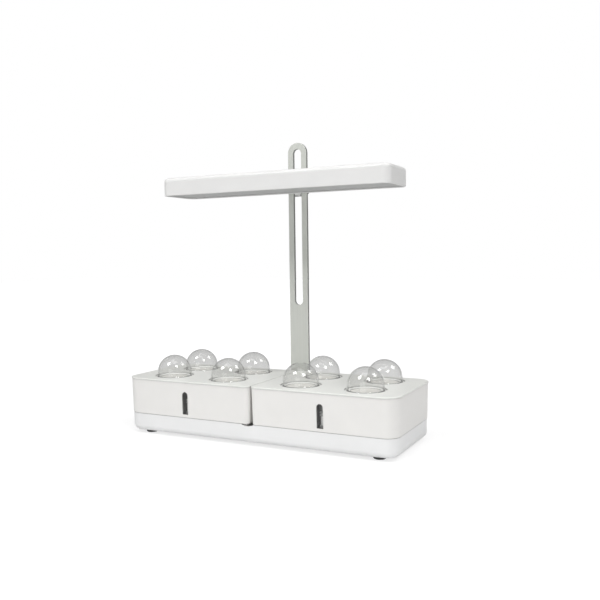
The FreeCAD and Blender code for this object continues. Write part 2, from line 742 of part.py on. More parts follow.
def basket():
    """Net cup with a flange, centred on Z, with the flange's underside at Z = 0."""
    flange = RECESS_RADIUS - BASKET_SEAT_CLEARANCE
    ring_outer = DOME_RADIUS - DOME_WALL - DOME_RING_CLEARANCE
    ring_inner = ring_outer - DOME_RING_WIDTH
    ring_top = BASKET_FLANGE_THICKNESS + DOME_RING_HEIGHT
    floor = -BASKET_DEPTH
    profile = [
        (0, floor),
        (BASKET_BOTTOM_RADIUS, floor),
        (BASKET_TOP_RADIUS, 0),
        (flange, 0),
        (flange, BASKET_FLANGE_THICKNESS),
        (ring_outer, BASKET_FLANGE_THICKNESS),
        (ring_outer, ring_top),
        (ring_inner, ring_top),
        (basket_inner_radius(0), BASKET_FLANGE_THICKNESS),
        (basket_inner_radius(0), 0),
        (basket_inner_radius(BASKET_DEPTH - BASKET_WALL), floor + BASKET_WALL),
        (0, floor + BASKET_WALL),
    ]
    cup = turned(profile)
    slot = block(
        BASKET_FLOOR_DISC_RADIUS,
        BASKET_TOP_RADIUS + CUT_MARGIN,
        -BASKET_SLOT_WIDTH / 2,
        BASKET_SLOT_WIDTH / 2,
        floor - CUT_MARGIN,
        -BASKET_SLOT_TOP,
    )
    slots = []
    for index in range(BASKET_SLOTS):
        cut = slot.copy()
        cut.rotate(Vector(0, 0, 0), Vector(0, 0, 1), 360.0 * (index + 0.5) / BASKET_SLOTS)
        slots.append(cut)
    return cup.cut(slots)


def grow_sponge():
    """Tapered plug with a seed dimple, its top level with the flange."""
    top = BASKET_FLANGE_THICKNESS
    low = top - SPONGE_HEIGHT
    profile = [
        (0, low),
        (basket_inner_radius(-low) - SPONGE_CLEARANCE, low),
        (basket_inner_radius(0) - SPONGE_CLEARANCE, 0),
        (basket_inner_radius(0) - SPONGE_CLEARANCE, top),
        (SPONGE_DIMPLE_RADIUS, top),
        (0, top - SPONGE_DIMPLE_DEPTH),
    ]
    return turned(profile)


def dome():
    """Clear hemisphere on a short skirt, standing on the basket's flange."""
    centre = DOME_CENTRE_ABOVE_LID + RECESS_DEPTH
    foot = BASKET_FLANGE_THICKNESS
    inner = DOME_RADIUS - DOME_WALL
    rim = DOME_RADIUS + DOME_RIM_WIDTH
    slope = math.cos(math.radians(45))

    def spot(radius, z):
        return Vector(radius, 0, z)

    outer_arc = Part.Arc(
        spot(DOME_RADIUS, centre),
        spot(DOME_RADIUS * slope, centre + DOME_RADIUS * slope),
        spot(0, centre + DOME_RADIUS),
    )
    inner_arc = Part.Arc(
        spot(0, centre + inner),
        spot(inner * slope, centre + inner * slope),
        spot(inner, centre),
    )
    skirt = Part.makePolygon([
        spot(inner, centre),
        spot(inner, foot),
        spot(rim, foot),
        spot(rim, foot + DOME_RIM_HEIGHT),
        spot(DOME_RADIUS, foot + DOME_RIM_HEIGHT),
        spot(DOME_RADIUS, centre),
    ])
    crown = Part.makeLine(spot(0, centre + DOME_RADIUS), spot(0, centre + inner))
    wire = Part.Wire([outer_arc.toShape(), crown, inner_arc.toShape()] + skirt.Edges)
    return Part.Face(wire).revolve(Vector(0, 0, 0), Vector(0, 0, 1), 360)


# Grow lamp
def plate_screw_places():
    """Between the rows of light boards, at the middle and near both ends."""
    offset = BOARD_ROW_PITCH / 2
    return [
        (step * PLATE_SCREW_PITCH, LAMP_Y + row * offset)
        for step in (-1, 0, 1)
        for row in (-1, 1)
    ]


def timer_peg_places():
    x = TIMER_LENGTH / 2 - TIMER_PEG_INSET
    y = TIMER_DEPTH / 2 - TIMER_PEG_INSET
    return [(BUTTON_X + sx * x, LAMP_Y + sy * y) for sx in (-1, 1) for sy in (-1, 1)]


def timer_top():
    """Top face of the timer board, set by the button's stack above it."""
    return LAMP_ROOF - BUTTON_ROOF_GAP - BUTTON_FLANGE_THICKNESS - BUTTON_TRAVEL - SWITCH_HEIGHT


def lamp_housing():
    plan = lamp_plan()
    shell = prism(plan, LAMP_BOTTOM, LAMP_TOP)
    shell = round_at_height(shell, LAMP_TOP_ROUND, LAMP_TOP)
    shell = round_at_height(shell, LAMP_LIP_ROUND, LAMP_BOTTOM)
    mouth = prism(inset_plan(plan, LAMP_WALL), LAMP_BOTTOM - CUT_MARGIN, DIFFUSER_TOP)
    cavity = prism(inset_plan(plan, LAMP_WALL + LAMP_LEDGE), DIFFUSER_TOP - CUT_MARGIN, LAMP_ROOF)
    cavity = round_at_height(cavity, LAMP_TOP_ROUND - LAMP_WALL - LAMP_LEDGE, LAMP_ROOF)
    shell = shell.cut([mouth, cavity])
    supports = [
        upright(PLATE_BOSS_RADIUS, x, y, PLATE_TOP, LAMP_ROOF + LAMP_WALL / 2)
        for x, y in plate_screw_places()
    ]
    supports += [
        upright(TIMER_PEG_RADIUS, x, y, timer_top(), LAMP_ROOF + LAMP_WALL / 2)
        for x, y in timer_peg_places()
    ]
    cuts = [
        upright(PLATE_SCREW_RADIUS + THREAD_CLEARANCE, x, y, PLATE_TOP - CUT_MARGIN, LAMP_ROOF)
        for x, y in plate_screw_places()
    ]
    button_hole = BUTTON_RADIUS + BUTTON_HOLE_CLEARANCE
    cuts.append(upright(button_hole, BUTTON_X, LAMP_Y, LAMP_ROOF - CUT_MARGIN, LAMP_TOP + CUT_MARGIN))
    inner_wall = LAMP_REAR - LAMP_WALL - LAMP_LEDGE - CUT_MARGIN
    outside = LAMP_REAR + CUT_MARGIN
    inlet_hole = INLET_BARREL_RADIUS + INLET_HOLE_CLEARANCE
    cuts.append(along_y(inlet_hole, INLET_X, INLET_Z, inner_wall, outside))
    for step in (-1, 1):
        x = step * BRACKET_SCREW_SPACING / 2
        cuts.append(along_y(SCREW_RADIUS + SCREW_HOLE_CLEARANCE, x, CLAMP_Z, inner_wall, outside))
    return fuse_all([shell] + supports).cut(cuts)


def lamp_diffuser():
    plan = inset_plan(lamp_plan(), LAMP_WALL + DIFFUSER_CLEARANCE)
    return prism(plan, DIFFUSER_BOTTOM, DIFFUSER_TOP)


def heat_plate():
    plan = inset_plan(lamp_plan(), LAMP_WALL + LAMP_LEDGE + PLATE_CLEARANCE)
    plate = prism(plan, PLATE_BOTTOM, PLATE_TOP)
    holes = [
        upright(PLATE_SCREW_RADIUS + SCREW_HOLE_CLEARANCE, x, y, PLATE_BOTTOM - CUT_MARGIN, LAMP_ROOF)
        for x, y in plate_screw_places()
    ]
    return plate.cut(holes)


def led_boards():
    """Long boards under the heat plate, each with a row of light chips."""
    pitch = BOARD_LENGTH / CHIPS_PER_BOARD
    boards = []
    for row in range(BOARD_ROWS):
        y = LAMP_Y + (row - (BOARD_ROWS - 1) / 2) * BOARD_ROW_PITCH
        low = PLATE_BOTTOM - BOARD_THICKNESS
        pieces = [
            block(
                -BOARD_LENGTH / 2,
                BOARD_LENGTH / 2,
                y - BOARD_WIDTH / 2,
                y + BOARD_WIDTH / 2,
                low,
                PLATE_BOTTOM,
            )
        ]
        for index in range(CHIPS_PER_BOARD):
            x = (index - (CHIPS_PER_BOARD - 1) / 2) * pitch
            half = CHIP_SIZE / 2
            pieces.append(block(x - half, x + half, y - half, y + half, low - CHIP_HEIGHT, low))
        boards.append(fuse_all(pieces))
    return Part.makeCompound(boards)


def plate_screws():
    head_radius = 2 * PLATE_SCREW_RADIUS
    head_height = 1.2 * PLATE_SCREW_RADIUS
    profile = [
        (0, PLATE_SCREW_LENGTH),
        (PLATE_SCREW_RADIUS, PLATE_SCREW_LENGTH),
        (PLATE_SCREW_RADIUS, 0),
        (head_radius, 0),
        (head_radius - head_height / 2, -head_height),
        (0, -head_height),
    ]
    screw = turned(profile)
    return Part.makeCompound([moved(screw, x, y, PLATE_BOTTOM) for x, y in plate_screw_places()])


# Timer button, timer board and power inlet
def timer_button():
    top = LAMP_TOP + BUTTON_PROUD
    flange_top = LAMP_ROOF - BUTTON_ROOF_GAP
    flange_bottom = flange_top - BUTTON_FLANGE_THICKNESS
    cap = upright(BUTTON_RADIUS, BUTTON_X, LAMP_Y, flange_top, top)
    cap = round_at_height(cap, BUTTON_PROUD / 2, top)
    flange = upright(BUTTON_FLANGE_RADIUS, BUTTON_X, LAMP_Y, flange_bottom, flange_top)
    stem = upright(PLUNGER_RADIUS, BUTTON_X, LAMP_Y, flange_bottom - PLUNGER_LENGTH, flange_bottom)
    return fuse_all([cap, flange, stem])


def timer_board():
    top = timer_top()
    board = block(
        BUTTON_X - TIMER_LENGTH / 2,
        BUTTON_X + TIMER_LENGTH / 2,
        LAMP_Y - TIMER_DEPTH / 2,
        LAMP_Y + TIMER_DEPTH / 2,
        top - TIMER_THICKNESS,
        top,
    )
    half = SWITCH_SIZE / 2
    switch_top = top + SWITCH_HEIGHT
    switch = block(BUTTON_X - half, BUTTON_X + half, LAMP_Y - half, LAMP_Y + half, top, switch_top)
    well_depth = PLUNGER_LENGTH + PLUNGER_CLEARANCE
    well_radius = PLUNGER_RADIUS + PLUNGER_CLEARANCE
    well = upright(well_radius, BUTTON_X, LAMP_Y, switch_top - well_depth, switch_top + CUT_MARGIN)
    return fuse_all([board, switch]).cut(well)


def dc_inlet():
    """Round power socket: flange outside the wall, barrel through it, body inside."""
    inner_wall = LAMP_REAR - LAMP_WALL - LAMP_LEDGE
    half = INLET_BODY_SIZE / 2
    mouth = LAMP_REAR + INLET_FLANGE_THICKNESS
    body_front = inner_wall - INLET_BODY_DEPTH
    flange = along_y(INLET_FLANGE_RADIUS, INLET_X, INLET_Z, LAMP_REAR, mouth)
    barrel = along_y(INLET_BARREL_RADIUS, INLET_X, INLET_Z, inner_wall, LAMP_REAR)
    body = block(
        INLET_X - half,
        INLET_X + half,
        body_front,
        inner_wall,
        INLET_Z - half,
        INLET_Z + half,
    )
    bore = along_y(INLET_BORE_RADIUS, INLET_X, INLET_Z, mouth - INLET_BORE_DEPTH, mouth + CUT_MARGIN)
    pin = along_y(
        INLET_PIN_RADIUS,
        INLET_X,
        INLET_Z,
        mouth - INLET_BORE_DEPTH - CUT_MARGIN,
        mouth - INLET_PIN_SETBACK,
    )
    return fuse_all([fuse_all([flange, barrel, body]).cut(bore), pin])


# Bracket, slider and clamp
def hexagon_along_y(across_flats, x, z, y0, y1):
    radius = across_flats / math.sqrt(3)
    points = []
    for index in range(7):
        angle = math.radians(60 * index)
        points.append(Vector(x + radius * math.cos(angle), y0, z + radius * math.sin(angle)))
    return Part.Face(Part.makePolygon(points)).extrude(Vector(0, y1 - y0, 0))


def bolt_head_rear():
    return LAMP_REAR + BOLT_POCKET_CLEARANCE + BOLT_HEAD_HEIGHT


def lamp_bracket():
    """Arm from the lamp's back to the post, flared out where it meets the lamp."""
    tip = POST_WIDTH / 2
    root = tip + BRACKET_FLARE_RADIUS
    face = POST_FRONT - BRACKET_POST_GAP
    rim = LAMP_REAR + BRACKET_ROOT_THICKNESS
    neck = rim + BRACKET_FLARE_RADIUS
    bulge = BRACKET_FLARE_RADIUS * math.sin(math.radians(45))
    low = CLAMP_Z - BRACKET_HALF_HEIGHT
    high = CLAMP_Z + BRACKET_HALF_HEIGHT

    def spot(x, y):
        return Vector(x, y, low)

    right = Part.Arc(spot(root, rim), spot(root - bulge, neck - bulge), spot(tip, neck))
    left = Part.Arc(spot(-tip, neck), spot(bulge - root, neck - bulge), spot(-root, rim))
    end = Part.makePolygon([spot(tip, neck), spot(tip, face), spot(-tip, face), spot(-tip, neck)])
    back = [spot(-root, rim), spot(-root, LAMP_REAR), spot(root, LAMP_REAR), spot(root, rim)]
    edges = [right.toShape()] + end.Edges + [left.toShape()] + Part.makePolygon(back).Edges
    arm = Part.Face(Part.Wire(edges)).extrude(Vector(0, 0, high - low))
    outer_edges = [
        edge
        for edge in edges_at_height(arm, low) + edges_at_height(arm, high)
        if edge.BoundBox.YMax > LAMP_REAR + CUT_MARGIN
    ]
    arm = arm.makeChamfer(BRACKET_EDGE_CHAMFER, outer_edges)
    pocket_size = BOLT_HEAD_ACROSS_FLATS + 2 * BOLT_POCKET_CLEARANCE
    cuts = [
        hexagon_along_y(pocket_size, 0, CLAMP_Z, LAMP_REAR - CUT_MARGIN, bolt_head_rear()),
        along_y(BOLT_RADIUS + BOLT_BORE_CLEARANCE, 0, CLAMP_Z, LAMP_REAR, POST_FRONT),
    ]
    for step in (-1, 1):
        x = step * BRACKET_SCREW_SPACING / 2
        cuts.append(
            along_y(
                SCREW_RADIUS + THREAD_CLEARANCE,
                x,
                CLAMP_Z,
                LAMP_REAR - CUT_MARGIN,
                LAMP_REAR + BRACKET_SCREW_GRIP + CUT_MARGIN,
            )
        )
    return arm.cut(cuts)


def bracket_screws():
    seat = LAMP_REAR - LAMP_WALL - LAMP_LEDGE
    grip = LAMP_REAR - seat + BRACKET_SCREW_GRIP
    half = BRACKET_SCREW_SPACING / 2
    return Part.makeCompound([screw_facing(-1, x, seat, CLAMP_Z, grip) for x in (-half, half)])


def slot_slider():
    slider = stadium_prism(
        SLOT_WIDTH / 2 - SLIDER_SIDE_CLEARANCE,
        CLAMP_Z - SLIDER_HALF_HEIGHT,
        CLAMP_Z + SLIDER_HALF_HEIGHT,
        POST_FRONT - BRACKET_POST_GAP,
        POST_REAR - SLIDER_BACK_GAP,
    )
    bore = along_y(BOLT_RADIUS + BOLT_BORE_CLEARANCE, 0, CLAMP_Z, LAMP_REAR, KNOB_FRONT)
    return slider.cut(bore)


def clamp_bolt():
    head = hexagon_along_y(
        BOLT_HEAD_ACROSS_FLATS,
        0,
        CLAMP_Z,
        LAMP_REAR + BOLT_POCKET_CLEARANCE,
        bolt_head_rear(),
    )
    shank = along_y(BOLT_RADIUS, 0, CLAMP_Z, bolt_head_rear(), KNOB_FRONT + BOLT_ENGAGEMENT)
    return fuse_all([head, shank])


def clamp_plate():
    half = CLAMP_PLATE_WIDTH / 2
    rise = CLAMP_PLATE_HEIGHT / 2
    back = POST_REAR + CLAMP_PLATE_THICKNESS
    plate = block(-half, half, POST_REAR, back, CLAMP_Z - rise, CLAMP_Z + rise)
    corners = [edge for edge in plate.Edges if edge.BoundBox.YLength > CLAMP_PLATE_THICKNESS / 2]
    plate = plate.makeFillet(CLAMP_PLATE_CORNER, corners)
    bore = along_y(BOLT_RADIUS + BOLT_BORE_CLEARANCE, 0, CLAMP_Z, LAMP_REAR, KNOB_FRONT)
    return plate.cut(bore)


def clamp_knob():
    rear = KNOB_FRONT + KNOB_LENGTH
    grip_front = KNOB_FRONT + KNOB_HUB_LENGTH
    hub = along_y(KNOB_HUB_RADIUS, 0, CLAMP_Z, KNOB_FRONT, grip_front)
    grip = along_y(KNOB_RADIUS, 0, CLAMP_Z, grip_front, rear)
    scallops = []
    for index in range(KNOB_LOBES):
        angle = 2 * math.pi * index / KNOB_LOBES
        x = KNOB_SCALLOP_CENTRE * math.sin(angle)
        z = CLAMP_Z + KNOB_SCALLOP_CENTRE * math.cos(angle)
        scallops.append(along_y(KNOB_SCALLOP_RADIUS, x, z, KNOB_FRONT, rear + CUT_MARGIN))
    grip = grip.cut(scallops)
    rear_edges = [edge for edge in grip.Edges if edge.BoundBox.YMin > rear - CUT_MARGIN]
    grip = grip.makeFillet(KNOB_EDGE_ROUND, rear_edges)
    seat = along_y(INSERT_RADIUS, 0, CLAMP_Z, KNOB_FRONT - CUT_MARGIN, KNOB_FRONT + INSERT_LENGTH)
    well_end = KNOB_FRONT + BOLT_ENGAGEMENT + BOLT_END_GAP
    well = along_y(BOLT_RADIUS + SCREW_HOLE_CLEARANCE, 0, CLAMP_Z, KNOB_FRONT, well_end)
    return fuse_all([hub, grip]).cut([seat, well])


def knob_insert():
    outer = along_y(INSERT_RADIUS, 0, CLAMP_Z, KNOB_FRONT, KNOB_FRONT + INSERT_LENGTH)
    bore = along_y(BOLT_RADIUS + THREAD_CLEARANCE, 0, CLAMP_Z, LAMP_REAR, KNOB_FRONT + KNOB_LENGTH)
    return outer.cut(bore)


def garden_nodes():
    """Every piece by name."""
    nodes = {
        "base_tray": base_tray(),
        "rubber_feet": rubber_feet(),
        "light_post": light_post(),
        "post_screws": post_screws(),
        "lamp_housing": lamp_housing(),
        "lamp_diffuser": lamp_diffuser(),
        "heat_plate": heat_plate(),
        "led_boards": led_boards(),
        "plate_screws": plate_screws(),
        "timer_button": timer_button(),
        "timer_board": timer_board(),
        "dc_inlet": dc_inlet(),
        "lamp_bracket": lamp_bracket(),
        "bracket_screws": bracket_screws(),
        "slot_slider": slot_slider(),
        "clamp_bolt": clamp_bolt(),
        "clamp_plate": clamp_plate(),
        "clamp_knob": clamp_knob(),
        "knob_insert": knob_insert(),
    }
    cup = basket()
    plug = grow_sponge()
    cover = dome()
    pod = 0
    for word, side in SIDES.items():
        nodes[f"tank_shell_{word}"] = tank_shell(side)
        nodes[f"level_window_{word}"] = level_window(side)
        nodes[f"window_gasket_{word}"] = window_gasket(side)
        nodes[f"float_guide_{word}"] = float_guide(side)
        nodes[f"float_rod_{word}"] = float_rod(side)
        nodes[f"level_float_{word}"] = level_float(side)
        nodes[f"tank_lid_{word}"] = tank_lid(side)
        for x, y in pod_places(side):
            pod += 1
            nodes[f"basket_{pod}"] = moved(cup, x, y, POD_SEAT)
            nodes[f"grow_sponge_{pod}"] = moved(plug, x, y, POD_SEAT)
            nodes[f"dome_{pod}"] = moved(cover, x, y, POD_SEAT)
    return nodes


os.makedirs("parts", exist_ok=True)
for name, shape in garden_nodes().items():
    shape.exportStep(f"parts/{name}.step")
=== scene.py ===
import math

import bmesh
import bpy
from mathutils import Matrix, Vector


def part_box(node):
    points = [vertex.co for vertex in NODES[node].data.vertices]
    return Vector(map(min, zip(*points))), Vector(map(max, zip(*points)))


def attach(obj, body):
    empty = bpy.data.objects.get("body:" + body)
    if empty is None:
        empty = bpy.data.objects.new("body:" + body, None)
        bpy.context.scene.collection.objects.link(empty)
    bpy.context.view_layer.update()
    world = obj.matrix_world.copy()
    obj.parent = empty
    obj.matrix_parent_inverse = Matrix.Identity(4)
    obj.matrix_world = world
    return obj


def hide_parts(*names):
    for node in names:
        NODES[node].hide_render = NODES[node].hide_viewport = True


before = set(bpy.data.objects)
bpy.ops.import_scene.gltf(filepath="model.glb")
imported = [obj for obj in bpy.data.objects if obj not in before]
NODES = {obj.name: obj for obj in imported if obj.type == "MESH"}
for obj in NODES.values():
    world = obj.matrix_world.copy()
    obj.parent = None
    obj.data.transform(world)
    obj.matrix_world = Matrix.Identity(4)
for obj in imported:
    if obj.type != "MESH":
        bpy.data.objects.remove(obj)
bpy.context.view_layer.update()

PODS = range(1, 9)
SIDES = ("left", "right")


# Camera, in the photograph's 600 x 600 frame
IMAGE_SIZE = 600.0
SENSOR_WIDTH = 36.0
FOCAL_PIXELS = 724.0
CAMERA_PLACE = Vector((0.4755, -0.8737, 0.2437))
CAMERA_YAW = 0.4683
CAMERA_PITCH = -0.0596
CAMERA_ROLL = -0.0131

# Clear dome, in metres
DOME_SEGMENTS = 96
DOME_RINGS = 28
DOME_RADIUS = 0.0235
DOME_WALL = 0.0012
DOME_RIM_RADIUS = 0.024
DOME_RIM_HEIGHT = 0.0012
DOME_ROUNDING = 0.0002

# Grow sponge, in metres
SPONGE_SEGMENTS = 72
SPONGE_EDGE = 0.0008
SPONGE_TAPER = 0.0037
SPONGE_DIMPLE_RADIUS = 0.003
SPONGE_DIMPLE_DEPTH = 0.004

# Painted shade in seam lines, and edges of mouldings, in metres and as parts of the colour
PAINTED_SHADE_REACH = 0.002
PAINTED_SEAM_SHADE = 0.35
EDGE_REACH = 0.0004
MOTTLE_SHADE = 0.97

# Clear walls, as parts of the light let through
SHADOW_CLEARNESS = 0.985
HAZE_SHADE = 0.985
COAT_INDEX = 1.49
COAT_ROUGHNESS = 0.015

# Floor, in metres and as levels where 1 is white
FLOOR_HALF = 6.0
FLOOR_COLOUR = 0.80
FLOOR_SEEN_COLOUR = 0.30
FLOOR_GLOW = 0.74
GLOW_NEAR = 0.35
GLOW_FAR = 1.3

# World levels, for other rays than the camera's and for those through clear walls
AMBIENT_LEVEL = 0.11
CLEAR_WALL_LEVEL = 0.66

# Lights, in metres
SOFTBOX_SIZE = 1.06
SOFTBOX_TURN = math.radians(45)
BROAD_SIZE = 2.4
BROAD_SIDE_SIZE = 2.0
LID_AIM = (0, 0, 0.1)
SIDE_AIM = (0, 0, 0.15)
FRONT_AIM = (0, 0, 0.2)


# Materials
class Shader:
    """A material's node tree with a Principled shader and short ways to add to it."""

    def __init__(self, name):
        self.material = bpy.data.materials.new(name)
        self.material.use_nodes = True
        self.tree = self.material.node_tree
        self.principled = self.tree.nodes["Principled BSDF"]
        self.output = self.tree.nodes["Material Output"]
        self.place = self.add("ShaderNodeTexCoord").outputs["Object"]

    def add(self, kind, **settings):
        node = self.tree.nodes.new(kind)
        for key, value in settings.items():
            setattr(node, key, value)
        return node

    def link(self, source, target):
        self.tree.links.new(source, target)

    def set(self, **values):
        for key, value in values.items():
            self.principled.inputs[key.replace("_", " ")].default_value = value

    def noise(self, scale, detail=3.0, stretch=(1, 1, 1)):
        mapping = self.add("ShaderNodeMapping")
        mapping.inputs["Scale"].default_value = stretch
        self.link(self.place, mapping.inputs["Vector"])
        node = self.add("ShaderNodeTexNoise")
        node.inputs["Scale"].default_value = scale
        node.inputs["Detail"].default_value = detail
        self.link(mapping.outputs["Vector"], node.inputs["Vector"])
        return node.outputs["Fac"]

    def remap(self, value, low, high, start=0.3, end=0.7):
        node = self.add("ShaderNodeMapRange")
        node.inputs["From Min"].default_value = start
        node.inputs["From Max"].default_value = end
        node.inputs["To Min"].default_value = low
        node.inputs["To Max"].default_value = high
        self.link(value, node.inputs["Value"])
        return node.outputs["Result"]

    def blend(self, factor, first, second):
        node = self.add("ShaderNodeMix", data_type="RGBA")
        self.link(factor, node.inputs["Factor"])
        for colour, socket in ((first, node.inputs["A"]), (second, node.inputs["B"])):
            if isinstance(colour, bpy.types.NodeSocket):
                self.link(colour, socket)
            else:
                socket.default_value = (*colour, 1.0)
        return node.outputs["Result"]

    def edge_mask(self, radius):
        """1 along sharp edges and 0 on open faces."""
        bevel = self.add("ShaderNodeBevel", samples=4)
        bevel.inputs["Radius"].default_value = radius
        flat = self.add("ShaderNodeNewGeometry")
        dot = self.add("ShaderNodeVectorMath", operation="DOT_PRODUCT")
        self.link(bevel.outputs["Normal"], dot.inputs[0])
        self.link(flat.outputs["Normal"], dot.inputs[1])
        return self.remap(dot.outputs["Value"], 1.0, 0.0, 0.75, 0.99)

    def sideways(self):
        """1 on the faces that run front to back and 0 on the broad front and back."""
        normal = self.add("ShaderNodeTexCoord").outputs["Normal"]
        parts = self.add("ShaderNodeSeparateXYZ")
        self.link(normal, parts.inputs["Vector"])
        size = self.add("ShaderNodeMath", operation="ABSOLUTE")
        self.link(parts.outputs["Y"], size.inputs[0])
        return self.remap(size.outputs["Value"], 1.0, 0.0, 0.3, 0.5)

    def painted_seam_shade(self, reach, depth):
        """Painted shade: colour factor that is 1 on open faces and falls to depth in narrow
        crevices found by ambient occlusion.
        """
        hollow = self.add("ShaderNodeAmbientOcclusion", samples=8)
        hollow.inputs["Distance"].default_value = reach
        return self.remap(hollow.outputs["AO"], depth, 1.0, 0.35, 0.92)

    def dimmed(self, colour, factor):
        node = self.add("ShaderNodeMix", data_type="RGBA", blend_type="MULTIPLY")
        node.inputs["Factor"].default_value = 1.0
        self.link(colour, node.inputs["A"])
        self.link(factor, node.inputs["B"])
        return node.outputs["Result"]

    def bump(self, height, distance, edge_radius=0.0):
        node = self.add("ShaderNodeBump")
        node.inputs["Distance"].default_value = distance
        self.link(height, node.inputs["Height"])
        if edge_radius:
            bevel = self.add("ShaderNodeBevel", samples=4)
            bevel.inputs["Radius"].default_value = edge_radius
            self.link(bevel.outputs["Normal"], node.inputs["Normal"])
        self.link(node.outputs["Normal"], self.principled.inputs["Normal"])


def moulded_plastic(name, colour, roughness, grain=0.00002, worn=0.93):
    """Moulded plastic: faint mottling, a fine grain, painted shade in seam lines and crevices,
    and rubbed edges.

    worn is the rubbed edges' colour as a part of the colour: under 1 is duller.
    """
    shader = Shader(name)
    darker = [part * MOTTLE_SHADE for part in colour]
    mottled = shader.blend(shader.remap(shader.noise(28, 4), 0, 1), darker, colour)
    rubbed = [part * worn for part in colour]
    edges = shader.edge_mask(EDGE_REACH)
    outside = shader.blend(edges, mottled, rubbed)
    # Painted shade: the colour is darkened where ambient occlusion finds crevices and seam
    # lines.
    seam_shade = shader.painted_seam_shade(PAINTED_SHADE_REACH, PAINTED_SEAM_SHADE)
    shader.link(shader.dimmed(outside, seam_shade), shader.principled.inputs["Base Color"])
    smear = shader.remap(shader.noise(60, 5), roughness - 0.04, roughness + 0.06)
    shader.link(smear, shader.principled.inputs["Roughness"])
    shader.bump(shader.noise(2600, 2), grain, EDGE_REACH)
    return shader.material


def coated_metal(name, colour, side_shade_colour, roughness):
    """Satin coated strip with faint lengthwise bands, painted highlight on sharp edges and
    painted shade on the sides that face left and right.
    """
    shader = Shader(name)
    sockets = shader.principled.inputs
    bands = shader.noise(900, 2, (1, 1, 0.004))
    darker = [part * 0.95 for part in colour]
    banded = shader.blend(shader.remap(bands, 0, 1), darker, colour)
    # Painted highlight: sharp edges take a lighter grey.
    edge_highlight = [min(part * 1.2, 0.85) for part in colour]
    face = shader.blend(shader.edge_mask(EDGE_REACH), banded, edge_highlight)
    # Painted shade: the sides facing left and right take the darker side grey.
    shader.link(shader.blend(shader.sideways(), face, side_shade_colour), sockets["Base Color"])
    shader.link(shader.remap(bands, roughness - 0.05, roughness + 0.08), sockets["Roughness"])
    shader.set(Specular_IOR_Level=0.35)
    shader.bump(shader.noise(1800, 2, (1, 1, 0.02)), 0.00002, 0.0003)
    return shader.material


def bare_metal(name, colour, roughness, stretch=(1, 1, 1)):
    """Bare metal with fine brush marks, longer along the stretched axis."""
    shader = Shader(name)
    sockets = shader.principled.inputs
    brushed = shader.noise(1200, 3, stretch)
    darker = [part * 0.85 for part in colour]
    shader.link(shader.blend(brushed, darker, colour), sockets["Base Color"])
    shader.link(shader.remap(brushed, roughness - 0.06, roughness + 0.10), sockets["Roughness"])
    shader.set(Metallic=1.0)
    shader.bump(brushed, 0.00001, 0.0002)
    return shader.material


def soft_rubber(name, colour, roughness):
    """Matt rubber with a little dust and a fine grain."""
    shader = Shader(name)
    sockets = shader.principled.inputs
    dusty = [part + 0.03 for part in colour]
    shader.link(shader.blend(shader.noise(90, 5), colour, dusty), sockets["Base Color"])
    worn = shader.remap(shader.noise(140, 3), roughness - 0.08, roughness + 0.08)
    shader.link(worn, sockets["Roughness"])
    shader.bump(shader.noise(1500, 2), 0.00004, 0.0003)
    return shader.material


def open_foam(name, colour):
    """Fine open-cell foam: pale walls with painted shade in the pores between them."""
    shader = Shader(name)
    sockets = shader.principled.inputs
    cells = shader.add("ShaderNodeTexVoronoi", feature="DISTANCE_TO_EDGE")
    cells.inputs["Scale"].default_value = 950
    shader.link(shader.place, cells.inputs["Vector"])
    walls = cells.outputs["Distance"]
    # Painted shade: the middles of the cells are darker, as shade in the pores.
    pore_shade = [part * 0.80 for part in colour]
    inside_cell = shader.remap(walls, 0, 1, 0.05, 0.35)
    shader.link(shader.blend(inside_cell, colour, pore_shade), sockets["Base Color"])
    shader.link(shader.remap(shader.noise(200, 3), 0.85, 1.0), sockets["Roughness"])
    shader.set(Specular_IOR_Level=0.2)
    shader.bump(shader.remap(walls, 1, 0, 0.0, 0.4), 0.00025)
    return shader.material


def clear_shell(name, tint, rim_tint):
    """Thin clear wall: light goes straight through it, and less so where it turns away.

    Shadow rays and rays from lit surfaces take the transparent way, so that what
    the wall covers is lit once and not twice.
    """
    shader = Shader(name)
    turn = shader.add("ShaderNodeLayerWeight")
    turn.inputs["Blend"].default_value = 0.5
    rim = shader.remap(turn.outputs["Facing"], 0, 1, 0.70, 0.95)
    hazier = [part * HAZE_SHADE for part in tint]
    hazed = shader.blend(shader.noise(70, 4), tint, hazier)
    shader.link(shader.blend(rim, hazed, rim_tint), shader.principled.inputs["Base Color"])
    shader.set(IOR=1.0, Transmission_Weight=1.0, Roughness=0.0)
    shader.set(Coat_Weight=1.0, Coat_IOR=COAT_INDEX, Coat_Roughness=COAT_ROUGHNESS)
    rays = shader.add("ShaderNodeLightPath")
    open_way = shader.add("ShaderNodeBsdfTransparent")
    open_way.inputs["Color"].default_value = (*(SHADOW_CLEARNESS,) * 3, 1.0)
    passing = shader.add("ShaderNodeMath", operation="MAXIMUM")
    shader.link(rays.outputs["Is Shadow Ray"], passing.inputs[0])
    shader.link(rays.outputs["Is Diffuse Ray"], passing.inputs[1])
    mix = shader.add("ShaderNodeMixShader")
    shader.link(passing.outputs["Value"], mix.inputs["Fac"])
    shader.link(shader.principled.outputs["BSDF"], mix.inputs[1])
    shader.link(open_way.outputs["BSDF"], mix.inputs[2])
    shader.link(mix.outputs["Shader"], shader.output.inputs["Surface"])
    return shader.material


